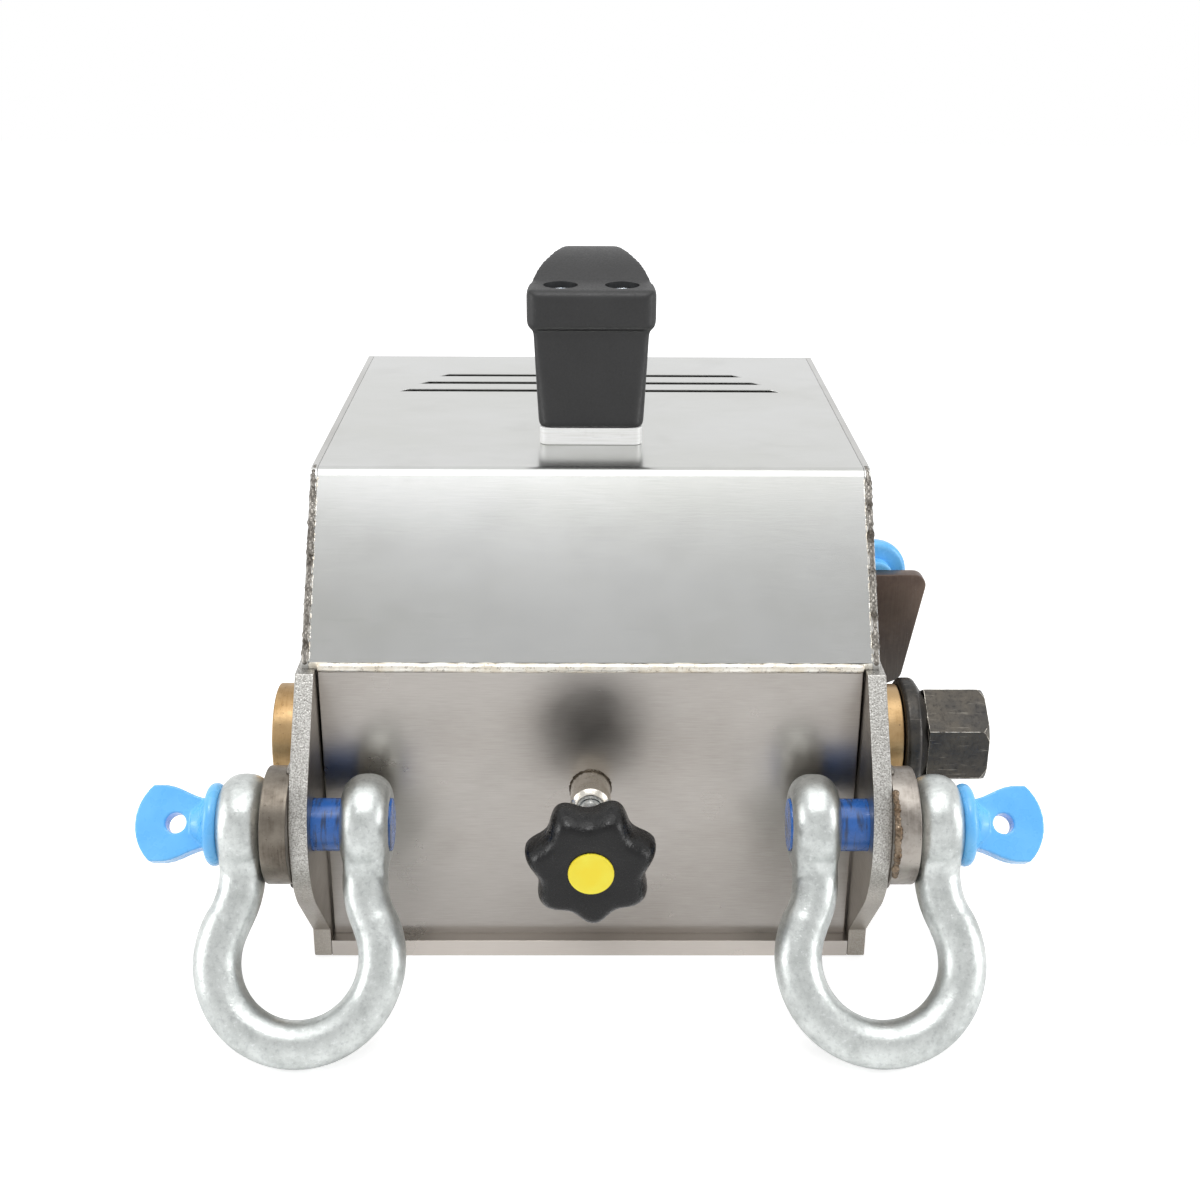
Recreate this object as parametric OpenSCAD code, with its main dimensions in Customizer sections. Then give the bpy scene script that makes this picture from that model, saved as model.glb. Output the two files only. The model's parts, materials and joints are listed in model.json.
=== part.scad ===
// Portable drive-shaft winch in a welded stainless housing.
// The origin is the centre of the base plate's underside, +Z is up and the front faces -Y.

/* [Housing] */
// Width over the two side plates
body_w = 250; // [220:1:300]
// Depth of the housing from the front foot to the rear
body_d = 264; // [240:1:320]
// Thickness of the side plates
side_t = 8; // [6:0.5:12]
// Thickness of the base plate
base_t = 8; // [5:0.5:12]
// Thickness of the housing sheets
sheet_t = 3; // [2:0.5:4]
// Gap between the front panel and each side plate
panel_gap = 0.8; // [0.3:0.1:0.9]
// Setback of the front panel from the front foot
panel_setback = 6; // [3:0.5:10]
// Height of the side plates
side_h = 140.5; // [136:0.5:160]
// Width of the hood over its side sheets
hood_w = 246; // [216:1:250]
// Height of the hood's flat top
hood_h = 213; // [200:1:240]
// Setback of the bend between the hood's slope and its top
hood_bend_y = 59; // [45:1:75]
// Inside radius of the hood's bend
hood_bend_r = 4; // [2:0.5:6]
// Height of the weld seam between panel and hood
seam_h = 4.5; // [3:0.5:5]

/* [Side plate nose] */
// Height of the vertical foot edge
foot_h = 14; // [12:1:20]
// Radius of the rounded nose
nose_r = 46; // [40:1:52]
// How far the nose stands ahead of the foot
nose_reach = 39; // [36:1:46]
// Height of the nose's centre
nose_z = 75; // [70:1:80]
// Lean of the edge above the nose, from vertical
nose_lean_top = 39; // [36:1:42]
// Lean of the edge below the nose, from vertical
nose_lean_low = 44; // [42:1:48]

/* [Vent slots] */
// Number of vent slots across the top
slot_count = 3; // [1:1:4]
// Spacing of the vent slots
slot_pitch = 15.4; // [12:0.2:18]
// Distance of the rearmost slot from the rear edge
slot_rear = 42; // [36:1:50]
// Width of a slot
slot_w = 5; // [4:0.5:7]
// Half length of the rearmost slot
slot_half = 80; // [60:1:90]
// How much each slot further forward is longer at each end
slot_grow = 9; // [4:1:10]
// Solid band left between the two halves of a slot
slot_band = 52; // [50:1:80]

/* [Rope opening] */
// Width of the rope opening in the rear panel
rope_w = 190; // [120:1:200]
// Height of the rope opening
rope_h = 56; // [40:1:70]
// Height of the opening's lower edge above the floor
rope_z = 58; // [45:1:70]

/* [Drive shaft] */
// Diameter of the drive shaft
shaft_d = 35; // [28:1:38]
// Height of the shaft above the floor
shaft_z = 83; // [78:0.5:90]
// Distance of the shaft behind the front foot
shaft_y = 58; // [56:1:64]
// Outside diameter of the bronze bushes
bush_d = 48; // [44:1:54]
// Running clearance between shaft and bush, on the radius
bush_clear = 0.05; // [0.02:0.01:0.08]
// How far the left bush stands out of its side plate
bush_out_left = 19.5; // [12:0.5:26]
// How far the right bush stands out of its side plate
bush_out_right = 18; // [10:1:22]
// End gap between a moving piece and a fixed face
end_gap = 0.4; // [0.3:0.1:0.8]
// Hexagon size across flats
hex_af = 41; // [36:1:46]
// Length of the hexagon
hex_l = 27.8; // [25:0.2:40]
// Chamfer on the hexagon's end
hex_chamfer = 4; // [2:0.5:5]
// Length of the collar behind the hexagon
collar_l = 11.2; // [9:0.2:18]
// Diameter of the collar
collar_d = 54; // [52:1:60]

/* [Drum] */
// Diameter of the drum barrel
barrel_d = 60; // [50:1:64]
// Diameter of the drum flanges
flange_d = 88; // [76:1:90]
// Thickness of the drum flanges
flange_t = 6; // [4:0.5:8]
// Gap between a flange and the side plate
flange_gap = 8; // [5:0.5:14]

/* [Shackles] */
// Diameter of the bow's bar
bow_bar_d = 18.8; // [17:0.2:20]
// Diameter of the bar where it draws in towards the ears
neck_bar_d = 18.2; // [16:0.2:18.4]
// Inside width of the bow
bow_in_w = 49.5; // [46:0.5:56]
// Inside length from pin to bow
bow_in_l = 69.8; // [66:0.2:80]
// Width between the ears
jaw_w = 32; // [31:0.5:36]
// Thickness of an ear
ear_t = 19.5; // [18:0.5:21]
// Diameter of an ear
ear_d = 42; // [40:1:46]
// Rounding of an ear's rim
ear_round = 8.5; // [5:0.5:9]
// Radius of the curve from the bow to an ear
neck_r = 40; // [30:1:60]
// Diameter of the shackle pin
pin_d = 22; // [18:0.5:22.5]
// Running clearance of the pin in its hole, on the radius
pin_clear = 0.08; // [0.03:0.01:0.1]
// Height of the pin above the floor
pin_z = 80; // [74:0.5:84]
// How far the pin stands ahead of the foot
pin_reach = 20; // [18:0.5:22]
// Diameter of the welded pin boss
boss_d = 50; // [44:1:52]
// Thickness of the welded pin boss
boss_t = 11; // [10:0.5:13]
// Diameter of the pin's collar
pin_collar_d = 35; // [30:1:40]
// Thickness of the pin's collar
pin_collar_t = 5.5; // [4:0.5:8]
// Thickness of the pin's flat eye
eye_t = 9; // [7:0.5:11]
// Width of the eye at its outer end
eye_w = 32; // [28:1:36]
// Length of the eye beyond the collar
eye_l = 31; // [26:1:34]
// Diameter of the hole in the eye
eye_hole_d = 9; // [7:0.5:10]

/* [Lock screw] */
// Height of the lock screw above the floor
lock_z = 83; // [78:0.5:90]
// Diameter of the lock stud
stud_d = 10; // [8:1:12]
// Running clearance of the stud, on the radius
stud_clear = 0.08; // [0.03:0.01:0.1]
// Gap between the stud's tip and the drum barrel
stud_tip_gap = 8; // [7:0.5:10]
// Diameter of the welded lock boss
lock_boss_d = 17.5; // [15:0.5:22]
// Length of the lock boss ahead of the panel
lock_boss_l = 18; // [12:0.5:20]
// Distance of the knob's face ahead of the foot
knob_reach = 64.5; // [60:0.5:72]
// Diameter over the knob's lobes
knob_d = 54; // [44:0.5:60]
// Number of lobes on the knob
knob_lobes = 7; // [5:1:9]
// Diameter over the hollows between the lobes
knob_waist_d = 44.5; // [38:0.5:52]
// Thickness of the knob's lobes
knob_t = 16; // [12:1:24]
// Length of the hub behind the lobes
knob_hub_l = 16; // [8:1:18]
// Diameter of the knob's cap
cap_d = 18.5; // [14:0.5:22]

/* [Carrying handle] */
// Length of the handle over its feet
handle_l = 122; // [114:1:134]
// Distance of the handle's front foot behind the front foot of the housing
handle_front = 94.5; // [84:0.5:110]
// Height of the spacers under the handle
spacer_h = 8; // [5:0.5:12]
// Rounding of the spacers' corners
spacer_r = 4; // [1:0.5:8]
// Width of the spacers and the legs' feet
leg_w = 47; // [40:1:50]
// Length of a leg's foot, front to back
leg_l = 28; // [22:1:32]
// Width of the handle's heads
head_w = 57.5; // [53:0.5:62]
// Height of a leg up to its head
leg_h = 44; // [38:0.5:50]
// Thickness of the grip at its crown
grip_t = 24; // [20:1:28]
// Width of the grip where it narrows behind the crown
grip_w = 26.6; // [22:0.2:32]
// Height of the crown above the heads' lower edge
crown_h = 26.5; // [22:0.5:29]
// Thickness of the heads
head_t = 17.5; // [14:0.5:18]
// Rounding of the heads' upper and lower edges
head_round = 3.5; // [2:0.5:5]
// Inward lean of the legs' outer faces
leg_lean = 8; // [4:1:10]
// How far the heads stand proud of the legs, front and rear
head_lip = 3; // [1:0.5:5]
// Radius of the finger opening's upper corners
gap_r = 16; // [8:1:24]
// Diameter of the screw holes in the heads
insert_d = 16; // [10:0.5:17]
// Spacing of the two screw holes in a head
insert_pitch = 28; // [24:1:30]
// Distance of the screw holes behind a leg's foot
insert_back = 18; // [15:0.5:22]
// Depth of the screw holes below a head's edge
insert_depth = 2.5; // [1:0.5:3]

/* [Side bracket] */
// Thickness of the side bracket
bracket_t = 8; // [5:0.5:10]
// Distance of the bracket behind the front foot
bracket_y = 141; // [110:1:180]
// Height of the bracket's upper edge
bracket_z = 131; // [118:1:136]
// Height of the bracket's outer edge
bracket_h = 57; // [45:1:70]
// How much lower the bracket reaches at the side plate
bracket_drop = 16; // [6:1:20]
// How far the bracket's upper end stands out
bracket_out = 45.5; // [36:0.5:52]
// Radius of the bracket's upper corner
bracket_r = 6; // [3:0.5:10]
// Inward lean of the bracket's outer edge
bracket_lean = 8.5; // [6:0.5:16]
// Diameter of the blue pin through the bracket
peg_d = 16; // [12:1:20]
// Distance of the blue pin below the bracket's upper edge
peg_drop = 4.5; // [3:0.5:12]
// Diameter of the blue pin's head
peg_head_d = 32; // [24:1:40]
// Thickness of the blue pin's head
peg_head_t = 13; // [8:1:16]
// Length of the blue pin between bracket and head
peg_l = 8; // [4:1:14]

/* [Hidden] */
$fn = 64;

steel = [0.70, 0.69, 0.67];
dark_steel = [0.33, 0.31, 0.29];
bronze = [0.78, 0.60, 0.36];
black_steel = [0.20, 0.20, 0.21];
galvanised = [0.74, 0.75, 0.77];
blue_paint = [0.20, 0.55, 0.95];
black_plastic = [0.14, 0.14, 0.15];
yellow_plastic = [0.98, 0.88, 0.18];
bright_steel = [0.85, 0.85, 0.86];

side_in = body_w/2 - side_t;
panel_top = side_h - 1.5;
cover_low = panel_top + seam_h;
bow_mid_r = (bow_in_w + bow_bar_d)/2;
pin_to_crown = pin_d/2 + bow_in_l + bow_bar_d/2;
bow_centre = pin_to_crown - bow_mid_r;
shackle_x = side_in + side_t + boss_t + end_gap - jaw_w/2;
shackle_tilt = acos((pin_z - bow_bar_d/2) / pin_to_crown);
ear_x = (jaw_w + ear_t)/2;
neck_a = acos((ear_x + neck_r) / (bow_mid_r + neck_r));
knob_back = knob_t + knob_hub_l;
handle_y = handle_front + handle_l/2;
handle_base = hood_h + spacer_h;
head_z_in = leg_h + head_t;

// Everything is laid out from the front foot's face, then centred on the base.
module from_front() {
  translate([0, -body_d/2, 0]) children();
}

// A profile drawn as [y, z] becomes a plate whose thickness runs along X from x0.
module plate_x(x0, t) {
  translate([x0, 0, 0]) rotate([90, 0, 90]) linear_extrude(t) children();
}

// A solid of revolution, drawn as [radius, length], stands along X from x0.
module along_x(x0, y, z) {
  translate([x0, y, z]) rotate([0, 90, 0]) children();
}

module base_plate() {
  color(steel) from_front()
    translate([-side_in, 0, 0]) cube([2*side_in, body_d, base_t]);
}

// Points of an arc, in degrees, for an outline that must stay one piece.
function arc(c, r, a0, a1, n) =
  [for (i = [0:n]) c + r*[cos(a0 + (a1 - a0)*i/n), sin(a0 + (a1 - a0)*i/n)]];

// Outline of a side plate: a vertical foot, a rounded nose between two leaning edges.
module side_outline() {
  nose_y = nose_r - nose_reach;
  nose_top = nose_z + nose_r*sin(nose_lean_top);
  top_y = nose_y - nose_r*cos(nose_lean_top) + (side_h - nose_top)*tan(nose_lean_top);
  polygon(concat(
    [[body_d, 0], [body_d, side_h], [top_y, side_h]],
    arc([nose_y, nose_z], nose_r, 180 - nose_lean_top, 180 + nose_lean_low, 36),
    [[0, foot_h], [0, 0]]
  ));
}

module side_plate(s) {
  difference() {
    plate_x(s > 0 ? side_in : -side_in - side_t, side_t) side_outline();
    along_x(-body_w, shaft_y, shaft_z) cylinder(d = bush_d, h = 2*body_w);
    along_x(-body_w, -pin_reach, pin_z) cylinder(r = pin_d/2 + pin_clear, h = 2*body_w);
  }
}

module left_side_plate() {
  color(steel) from_front() side_plate(-1);
}

module right_side_plate() {
  color(steel) from_front() side_plate(1);
}

module front_panel() {
  color(steel) from_front() difference() {
    translate([-side_in + panel_gap, panel_setback, base_t])
      cube([2*(side_in - panel_gap), sheet_t, panel_top - base_t]);
    translate([0, -1, lock_z]) rotate([-90, 0, 0])
      cylinder(r = stud_d/2 + stud_clear, h = 2*body_d);
  }
}

module rear_panel() {
  low_w = 2*(side_in - panel_gap);
  top_w = hood_w - 2*sheet_t;
  color(steel) from_front() difference() {
    translate([0, body_d, 0]) rotate([90, 0, 0]) linear_extrude(sheet_t) polygon([
      [-low_w/2, base_t], [low_w/2, base_t], [low_w/2, side_h], [top_w/2, side_h],
      [top_w/2, hood_h - sheet_t], [-top_w/2, hood_h - sheet_t], [-top_w/2, side_h],
      [-low_w/2, side_h]
    ]);
    translate([-rope_w/2, body_d - 2*sheet_t, rope_z])
      cube([rope_w, 3*sheet_t, rope_h]);
  }
}

// Weld seam closing the joint between the panel and the hood's slope. Its lower part
// lies between the side plates, its upper part runs on to the hood's side sheets.
module front_seam() {
  low_w = 2*(side_in - panel_gap);
  top_w = hood_w - 2*sheet_t;
  bead_r = seam_h/2;
  color(bright_steel) from_front() {
    plate_x(-low_w/2, low_w) union() {
      translate([panel_setback, panel_top]) square([sheet_t, seam_h]);
      translate([panel_setback, panel_top + bead_r]) intersection() {
        circle(bead_r);
        translate([-bead_r, -bead_r]) square([bead_r + sheet_t/2, seam_h]);
      }
    }
    plate_x(-top_w/2, top_w)
      translate([panel_setback, side_h]) square([sheet_t, cover_low - side_h]);
  }
}

// Line of the bent sheet, drawn as [y, z]: a slope and a flat top joined in a rounded bend.
function hood_line(inset) =
  let (lean = atan2(hood_bend_y - panel_setback, hood_h - cover_low),
       turn = 90 - lean,
       r = hood_bend_r + sheet_t,
       c = [hood_bend_y + r*tan(turn/2), hood_h - r])
  concat(
    [[panel_setback + inset/cos(lean), cover_low]],
    arc(c, r - inset, 90 + turn, 90, 10),
    [[body_d, hood_h - inset]]
  );

module hood_section(inset) {
  polygon(concat(hood_line(inset), [[body_d, cover_low]]));
}

module vent_slots() {
  for (i = [0:slot_count - 1], s = [-1, 1]) {
    half = slot_half + i*slot_grow;
    y = body_d - slot_rear - i*slot_pitch;
    translate([0, y, hood_h - 2*sheet_t]) linear_extrude(4*sheet_t)
      polygon([
        [s*slot_band/2, -slot_w/2], [s*slot_band/2, slot_w/2],
        [s*(half - slot_w), slot_w/2], [s*half, -slot_w/2]
      ]);
  }
}

module hood_cover() {
  color(steel) from_front() difference() {
    plate_x(-hood_w/2 + sheet_t, hood_w - 2*sheet_t) difference() {
      hood_section(0);
      hood_section(sheet_t);
    }
    vent_slots();
  }
}

module hood_side(x0) {
  plate_x(x0, sheet_t)
    polygon(concat([[panel_setback, side_h]], hood_line(0), [[body_d, side_h]]));
}

module hood_left_side() {
  color(steel) from_front() hood_side(-hood_w/2);
}

module hood_right_side() {
  color(steel) from_front() hood_side(hood_w/2 - sheet_t);
}

module pin_boss(x0) {
  along_x(x0, -pin_reach, pin_z) difference() {
    cylinder(d = boss_d, h = boss_t);
    translate([0, 0, -1]) cylinder(r = pin_d/2 + pin_clear, h = boss_t + 2);
  }
}

module left_pin_boss() {
  color(dark_steel) from_front() pin_boss(-body_w/2 - boss_t);
}

module right_pin_boss() {
  color(dark_steel) from_front() pin_boss(body_w/2);
}

module shaft_bush(x0, l) {
  along_x(x0, shaft_y, shaft_z) difference() {
    cylinder(d = bush_d, h = l);
    translate([0, 0, -1]) cylinder(r = shaft_d/2 + bush_clear, h = l + 2);
  }
}

module left_shaft_bush() {
  color(bronze) from_front()
    shaft_bush(-body_w/2 - bush_out_left, bush_out_left + side_t);
}

module right_shaft_bush() {
  color(bronze) from_front() shaft_bush(side_in, side_t + bush_out_right);
}

module drive_shaft() {
  l = body_w + bush_out_left + bush_out_right + end_gap - 1;
  color(black_steel) from_front()
    along_x(-body_w/2 - bush_out_left + 1, shaft_y, shaft_z) cylinder(d = shaft_d, h = l);
}

module drive_hex() {
  hex_r = hex_af/2/cos(30);
  rim_r = collar_l*0.22;
  color(black_steel) from_front()
    along_x(body_w/2 + bush_out_right + end_gap, shaft_y, shaft_z) {
      rotate_extrude() polygon(concat(
        [[0, 0]],
        arc([collar_d/2 - rim_r, rim_r], rim_r, -90, 0, 6),
        arc([collar_d/2 - rim_r, collar_l*0.7 - rim_r], rim_r, 0, 60, 6),
        [[hex_af/2 + 1, collar_l*0.93], [hex_af/2 - 0.5, collar_l], [0, collar_l]]
      ));
      translate([0, 0, collar_l]) intersection() {
        cylinder(r = hex_r, h = hex_l, $fn = 6);
        rotate_extrude() polygon([
          [0, 0], [hex_r + 1, 0], [hex_r + 1, hex_l - hex_chamfer - 0.5],
          [hex_r - hex_chamfer/2, hex_l], [0, hex_l]
        ]);
      }
    }
}

module drum_barrel() {
  l = 2*(side_in - flange_gap - flange_t);
  color(dark_steel) from_front() along_x(-l/2, shaft_y, shaft_z) difference() {
    cylinder(d = barrel_d, h = l);
    translate([0, 0, -1]) cylinder(d = shaft_d, h = l + 2);
  }
}

module drum_flange(x0) {
  along_x(x0, shaft_y, shaft_z) difference() {
    cylinder(d = flange_d, h = flange_t);
    translate([0, 0, -1]) cylinder(d = shaft_d, h = flange_t + 2);
  }
}

module left_drum_flange() {
  color(dark_steel) from_front() drum_flange(-side_in + flange_gap);
}

module right_drum_flange() {
  color(dark_steel) from_front() drum_flange(side_in - flange_gap - flange_t);
}

// The bow lies in the XZ plane with its pin at the origin and its crown below.
module bow() {
  neck_z = -bow_centre + (bow_mid_r + neck_r)*sin(neck_a);
  difference() {
    union() {
      translate([0, 0, -bow_centre]) rotate([90, 0, 0])
        rotate([0, 0, 180 - neck_a]) rotate_extrude(angle = 180 + 2*neck_a)
          translate([bow_mid_r, 0]) circle(d = bow_bar_d);
      for (s = [0, 1]) mirror([s, 0, 0]) {
        translate([ear_x + neck_r, 0, neck_z])
          rotate([90, 0, 0]) rotate([0, 0, 180]) rotate_extrude(angle = neck_a + 3)
            translate([neck_r, 0]) circle(d = neck_bar_d);
        translate([ear_x, 0, neck_z]) cylinder(d = neck_bar_d, h = -neck_z);
        along_x(jaw_w/2, 0, 0) rotate_extrude() {
          square([ear_d/2 - ear_round, ear_t]);
          translate([0, ear_round]) square([ear_d/2, ear_t - 2*ear_round]);
          for (z = [ear_round, ear_t - ear_round])
            translate([ear_d/2 - ear_round, z]) circle(ear_round);
        }
        // The forged blend from the ear to its leg
        intersection() {
          translate([ear_x, 0, -ear_d*0.66])
            cylinder(r1 = neck_bar_d*0.36, r2 = ear_d*0.4, h = ear_d*0.5);
          translate([jaw_w/2 + 1.5, -ear_d, -ear_d]) cube([ear_t - 3, 2*ear_d, 2*ear_d]);
        }
      }
    }
    along_x(-body_w, 0, 0) cylinder(d = pin_d, h = 2*body_w);
  }
}

// Fish-tail outline of the pin's flat eye, from its root at x = 0.
function eye_half(x, l) =
  pin_d*0.46 + (eye_w/2 - pin_d*0.46)*(1 - cos(180*min(1, x/(l*0.8))))/2;

module eye_outline() {
  tail_r = eye_w*0.69;
  tail_a = asin(eye_w/2/tail_r);
  side_l = eye_l - tail_r*(1 - cos(tail_a));
  polygon(concat(
    [for (i = [0:8]) [side_l*i/8, -eye_half(side_l*i/8, side_l)]],
    arc([eye_l - tail_r, 0], tail_r, -tail_a, tail_a, 12),
    [for (i = [8:-1:0]) [side_l*i/8, eye_half(side_l*i/8, side_l)]]
  ));
}

// Screw pin: shank, rounded collar and flat eye, with the collar outside the ear at +X.
module screw_pin() {
  outer = jaw_w/2 + ear_t;
  rim_r = pin_collar_t/2;
  along_x(-outer - 1, 0, 0) cylinder(d = pin_d, h = 2*outer + 1);
  along_x(outer, 0, 0) rotate_extrude() polygon(concat(
    [[0, -1], [pin_d/2 - 0.5, -1], [pin_d/2 - 0.5, 0]],
    arc([pin_collar_d/2 - rim_r, rim_r], rim_r, -90, 90, 12),
    [[pin_d*0.55, pin_collar_t + 0.8], [pin_d*0.43, pin_collar_t + 3],
     [pin_d*0.3, pin_collar_t + 7], [0, pin_collar_t + 7]]
  ));
  translate([outer + pin_collar_t - 0.5, eye_t/2, 0]) rotate([90, 0, 0])
    linear_extrude(eye_t) difference() {
      eye_outline();
      translate([eye_l*0.45, 0]) circle(d = eye_hole_d);
    }
}

module shackle_place(s) {
  from_front() translate([s*shackle_x, -pin_reach, pin_z])
    rotate([-shackle_tilt, 0, 0]) children();
}

module left_shackle_bow() {
  color(galvanised) shackle_place(-1) bow();
}

module left_shackle_pin() {
  color(blue_paint) shackle_place(-1) mirror([1, 0, 0]) screw_pin();
}

module right_shackle_bow() {
  color(galvanised) shackle_place(1) bow();
}

module right_shackle_pin() {
  color(blue_paint) shackle_place(1) screw_pin();
}

module lock_boss() {
  color(bright_steel) from_front()
    translate([0, panel_setback, lock_z]) rotate([90, 0, 0]) difference() {
      rotate_extrude() polygon([
        [0, 0], [lock_boss_d/2, 0], [lock_boss_d/2, lock_boss_l - 2],
        [lock_boss_d/2 - 2, lock_boss_l], [0, lock_boss_l]
      ]);
      translate([0, 0, -1]) cylinder(r = stud_d/2 + stud_clear, h = lock_boss_l + 2);
    }
}

module lock_stud() {
  tip_y = shaft_y - barrel_d/2 - stud_tip_gap;
  back_y = -knob_reach + knob_back;
  color(bright_steel) from_front()
    translate([0, tip_y, lock_z]) rotate([90, 0, 0])
      cylinder(d = stud_d, h = tip_y - back_y - end_gap);
}

// Star outline: rounded lobes with wide, shallow hollows between them, as one line of arcs.
module star_outline() {
  half = 180/knob_lobes;
  lobe_r = knob_d*0.105;
  lobe_c = knob_d/2 - lobe_r;
  waist = knob_waist_d/2;
  hollow_r = (lobe_r*lobe_r - lobe_c*lobe_c - waist*waist + 2*lobe_c*waist*cos(half))
    / (2*(waist - lobe_c*cos(half) - lobe_r));
  hollow_c = waist + hollow_r;
  lead = atan2(hollow_c*sin(half), hollow_c*cos(half) - lobe_c);
  polygon([for (i = [0:knob_lobes - 1], p = concat(
      arc([lobe_c, 0], lobe_r, -lead, lead, 8),
      arc(hollow_c*[cos(half), sin(half)], hollow_r, lead + 180 - 2, 2*half + 180 - lead + 2, 6)
    )) [p[0]*cos(2*half*i) - p[1]*sin(2*half*i), p[0]*sin(2*half*i) + p[1]*cos(2*half*i)]]);
}

module lock_knob() {
  r = knob_d/2;
  color(black_plastic) from_front()
    translate([0, -knob_reach + knob_back, lock_z]) rotate([90, 0, 0]) difference() {
      union() {
        cylinder(d = knob_d*0.5, h = knob_hub_l + 1);
        intersection() {
          translate([0, 0, knob_hub_l]) linear_extrude(knob_t) rotate(-87) star_outline();
          translate([0, 0, knob_hub_l]) rotate_extrude() polygon(concat(
            [[0, -1], [r*0.8, -1], [r*0.93, knob_t*0.1]],
            [for (a = [0:10:60]) [r*(0.76 + 0.24*cos(a)), knob_t*(0.5 + 0.42*sin(a)/sin(60))]],
            [[r*0.62, knob_t*0.98], [r*0.4, knob_t], [0, knob_t]]
          ));
        }
      }
      translate([0, 0, knob_back - 1.5]) cylinder(d = cap_d, h = 2);
    }
}

module lock_knob_cap() {
  color(yellow_plastic) from_front()
    translate([0, -knob_reach + 1.5, lock_z]) rotate([90, 0, 0])
      cylinder(d = cap_d, h = 1.5);
}

module handle_spacer(s) {
  w = leg_w/2 - spacer_r;
  l = leg_l/2 - spacer_r;
  translate([0, handle_y + s*(handle_l - leg_l)/2, hood_h]) linear_extrude(spacer_h)
    polygon(concat(arc([w, l], spacer_r, 0, 90, 6), arc([-w, l], spacer_r, 90, 180, 6),
      arc([-w, -l], spacer_r, 180, 270, 6), arc([w, -l], spacer_r, 270, 360, 6)));
}

module front_handle_spacer() {
  color(bright_steel) from_front() handle_spacer(-1);
}

module rear_handle_spacer() {
  color(bright_steel) from_front() handle_spacer(1);
}

// Side view of the handle, drawn as [y, z] from the middle of its feet: flat heads over the
// screw holes and an arch between them.
module handle_side() {
  l = handle_l/2;
  lean = leg_h*tan(leg_lean);
  head_l = l - lean + head_lip;
  r = head_round;
  head_top = leg_h + head_t;
  rise = crown_h - head_t;
  half = l - insert_back - insert_d/2 - 1;
  crown_r = (half*half + rise*rise) / (2*rise);
  crown_a = asin(half/crown_r);
  gap_l = l - leg_l;
  gap_h = leg_h + crown_h - grip_t;
  polygon(concat(
    [[-l, 0], [-l + lean, leg_h]],
    arc([-head_l + r, leg_h + r], r, 270, 180, 5),
    arc([-head_l + r, head_top - r], r, 180, 90, 5),
    arc([0, leg_h + crown_h - crown_r], crown_r, 90 + crown_a, 90 - crown_a, 16),
    arc([head_l - r, head_top - r], r, 90, 0, 5),
    arc([head_l - r, leg_h + r], r, 0, -90, 5),
    [[l - lean, leg_h], [l, 0], [gap_l, 0]],
    arc([gap_l - gap_r, gap_h - gap_r], gap_r, 0, 90, 8),
    arc([-gap_l + gap_r, gap_h - gap_r], gap_r, 90, 180, 8),
    [[-gap_l, 0]]
  ));
}

// Half width of the grip, which draws in smoothly from its front head to a slim rear end.
function grip_half(y) =
  let (start = -handle_l/2 + insert_back - 3,
       t = max(0, min(1, (y - start)/(handle_l*0.13 - start))))
  grip_w/2 + (head_w - grip_w)/4*(1 + cos(180*t));

module handle_plan() {
  l = handle_l/2 + 1;
  r = head_round*1.6;
  w = head_w/2;
  front = -handle_l/2 + leg_h*tan(leg_lean) - head_lip;
  polygon(concat(
    arc([-w + r, front + r], r, 180, 270, 6), arc([w - r, front + r], r, 270, 360, 6),
    [for (i = [1:18]) let (y = front + r + (l - front - r)*i/18) [grip_half(y), y]],
    [for (i = [18:-1:1]) let (y = front + r + (l - front - r)*i/18) [-grip_half(y), y]]
  ));
}

module carry_handle() {
  l = handle_l/2 + 1;
  top = leg_h + crown_h + 1;
  color(black_plastic) from_front() translate([0, handle_y, handle_base])
    difference() {
      intersection() {
        plate_x(-head_w, 2*head_w) handle_side();
        union() {
          // Front leg, a little wider at its head than at its foot
          translate([0, handle_l*0.1, 0]) rotate([90, 0, 0]) linear_extrude(handle_l*0.1 + l)
            polygon([[-leg_w/2, 0], [-leg_w/2 - 2.5, leg_h + head_round],
              [leg_w/2 + 2.5, leg_h + head_round], [leg_w/2, 0]]);
          // Rear leg, drawn in to the grip's rear end
          translate([0, l, 0]) rotate([90, 0, 0]) linear_extrude(handle_l*0.1 + l)
            polygon([[-leg_w/2, 0], [-grip_w/2, leg_h], [-grip_w/2, top],
              [grip_w/2, top], [grip_w/2, leg_h], [leg_w/2, 0]]);
          translate([0, 0, leg_h]) linear_extrude(top - leg_h) handle_plan();
        }
      }
      insert_spots() translate([0, 0, head_z_in - insert_depth]) cylinder(d = insert_d, h = top);
    }
}

// Middles of the screw holes: two in the front head, one in the rear end.
module insert_spots() {
  spot = handle_l/2 - insert_back;
  for (s = [-1, 1]) translate([s*insert_pitch/2, -spot, 0]) children();
  translate([0, spot, 0]) children();
}

module handle_inserts() {
  color(bright_steel) from_front() translate([0, handle_y, handle_base])
    insert_spots() translate([0, 0, head_z_in - insert_depth]) cylinder(d = insert_d - 2, h = 1);
}

module side_bracket() {
  foot_out = bracket_out - bracket_h*tan(bracket_lean);
  low_a = atan2(bracket_drop, foot_out);
  color(dark_steel) from_front()
    translate([body_w/2, bracket_y + bracket_t, bracket_z - bracket_h]) rotate([90, 0, 0])
      linear_extrude(bracket_t) polygon(concat(
        [[0, -bracket_drop]],
        arc([foot_out - bracket_r, bracket_r*0.6], bracket_r, low_a - 90, -bracket_lean, 6),
        arc([bracket_out - bracket_r, bracket_h - bracket_r], bracket_r, -bracket_lean, 90, 8),
        [[0, bracket_h]]
      ));
}

module peg_place(back) {
  translate([body_w/2 + bracket_out*0.48, bracket_y + bracket_t + back, bracket_z - peg_drop])
    rotate([-90, 0, 0]) children();
}

module bracket_peg() {
  color(blue_paint) from_front() peg_place(0) cylinder(d = peg_d, h = peg_l);
}

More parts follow.
